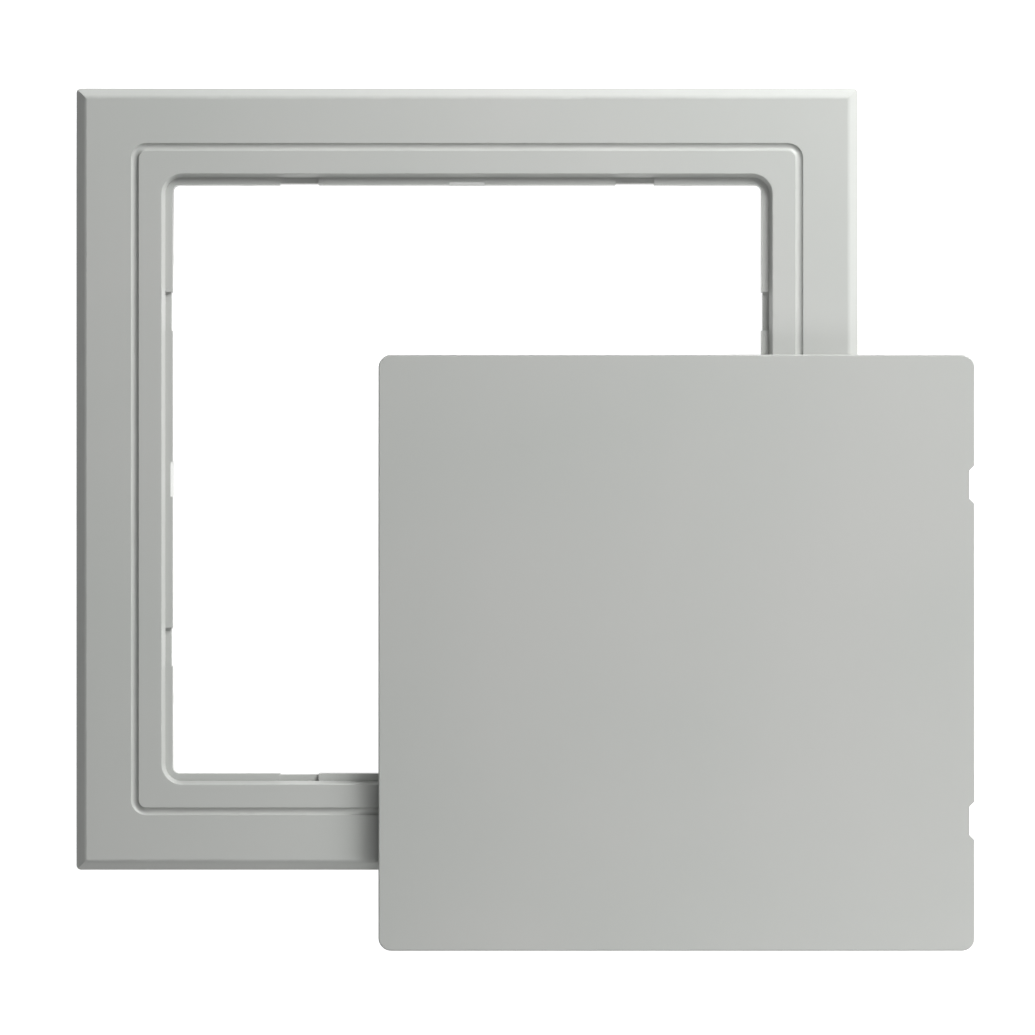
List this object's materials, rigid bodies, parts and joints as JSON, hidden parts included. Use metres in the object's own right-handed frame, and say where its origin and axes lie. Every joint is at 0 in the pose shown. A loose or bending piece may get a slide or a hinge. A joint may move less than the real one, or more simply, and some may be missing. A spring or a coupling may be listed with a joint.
{
  "type": "ceiling access panel",
  "caption": "Square moulded ceiling access panel: a bevelled, grooved frame with a ledge and deep throat, and a flat snap-in door with sprung catches, taken off and laid on the frame.",
  "frame": {"origin": "centre of the frame's opening, on the ceiling surface that the back of the border rests against", "axes": "+Z out of the front face, +X to the right and +Y up as the front face is seen in the picture; the panel lies on its back, face up"},
  "size_m": [0.3063, 0.2941, 0.0313],
  "materials": {
    "moulding": "satin light grey moulded plastic with a very fine grain",
    "catch": "natural white moulded plastic",
    "steel": "bright zinc-plated steel"
  },
  "bodies": {
    "frame": {"frame": "moulding"},
    "door": {"door_panel": "moulding", "catch_pin_right": "steel", "catch_pin_left": "steel", "catch_spring_right": "steel", "catch_spring_left": "steel"},
    "catch_right": {"catch_right": "catch"},
    "catch_left": {"catch_left": "catch"}
  },
  "joints": [
    {"name": "door_lift", "type": "slide", "parent": "frame", "child": "door", "axis": [0, 0, 1], "range_m": [0, 0.15]},
    {"name": "catch_right_turn", "type": "hinge", "parent": "door", "child": "catch_right", "pos_m": [0.1668, -0.0592, 0.0061], "axis": [0, 1, 0], "range_deg": [0, 16], "stiffness_Nm_per_rad": 0.02, "deforming": ["catch_spring_right"]},
    {"name": "catch_left_turn", "type": "hinge", "parent": "door", "child": "catch_left", "pos_m": [-0.024, -0.0592, 0.0061], "axis": [0, -1, 0], "range_deg": [0, 16], "stiffness_Nm_per_rad": 0.02, "deforming": ["catch_spring_left"]}
  ]
}
